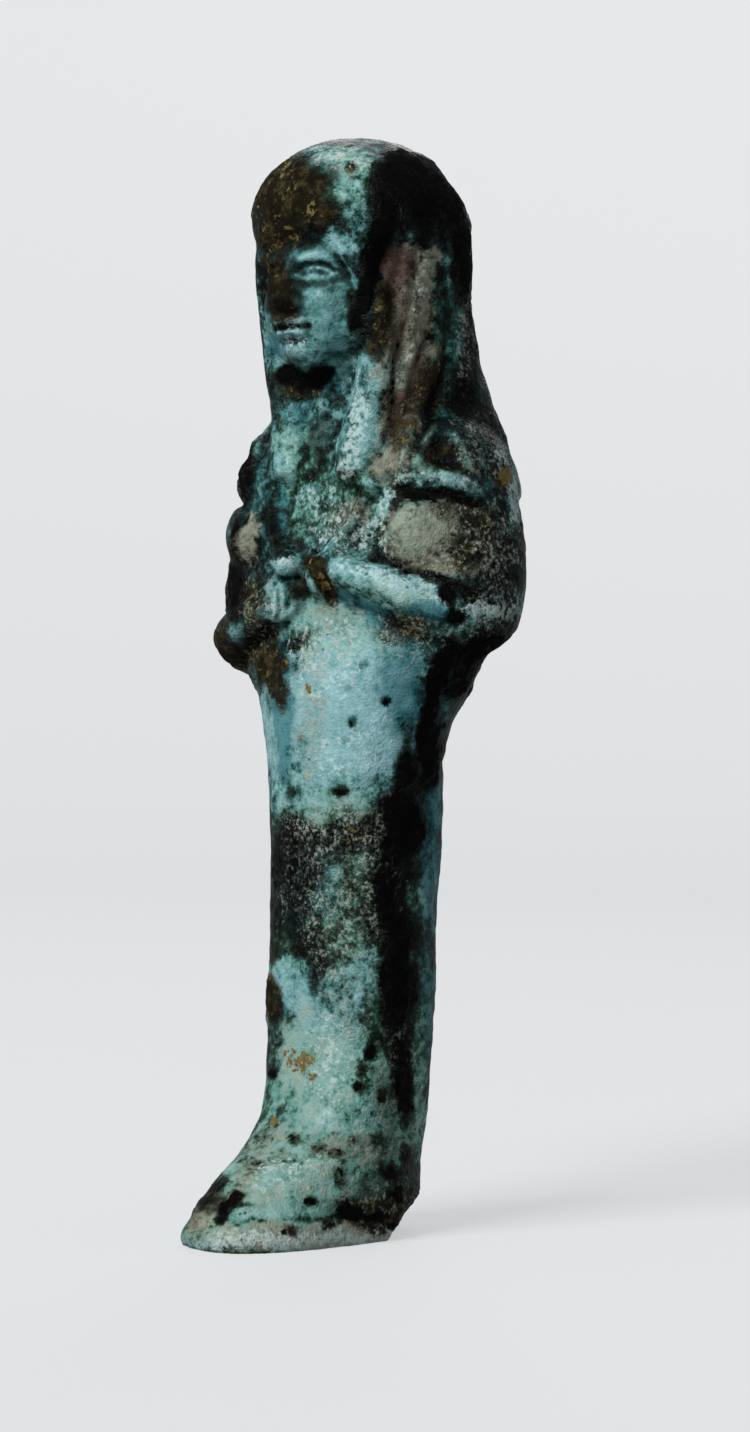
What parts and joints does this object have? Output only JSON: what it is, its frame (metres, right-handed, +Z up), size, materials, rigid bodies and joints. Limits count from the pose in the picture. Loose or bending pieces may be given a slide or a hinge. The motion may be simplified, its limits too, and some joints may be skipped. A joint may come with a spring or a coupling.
{
  "type": "ushabti figurine",
  "caption": "Small mummiform funerary figure of moulded turquoise faience, arms crossed over hoes, long wig with lappets, standing on the low slab under its feet",
  "frame": {"origin": "on the flat underside, below the middle of the body, where the figure's mirror plane crosses the plane of its shoulders", "axes": "+Z is up along the figure, -Y is the way the face and the toes point, +X is the figure's own left side"},
  "size_m": [0.0366, 0.0334, 0.11],
  "materials": {
    "turquoise_glaze": "worn turquoise glaze over a coarse white body, with dark and brown crusts and pits"
  },
  "bodies": {
    "root": {"ushabti_figure": "turquoise_glaze"}
  },
  "joints": []
}
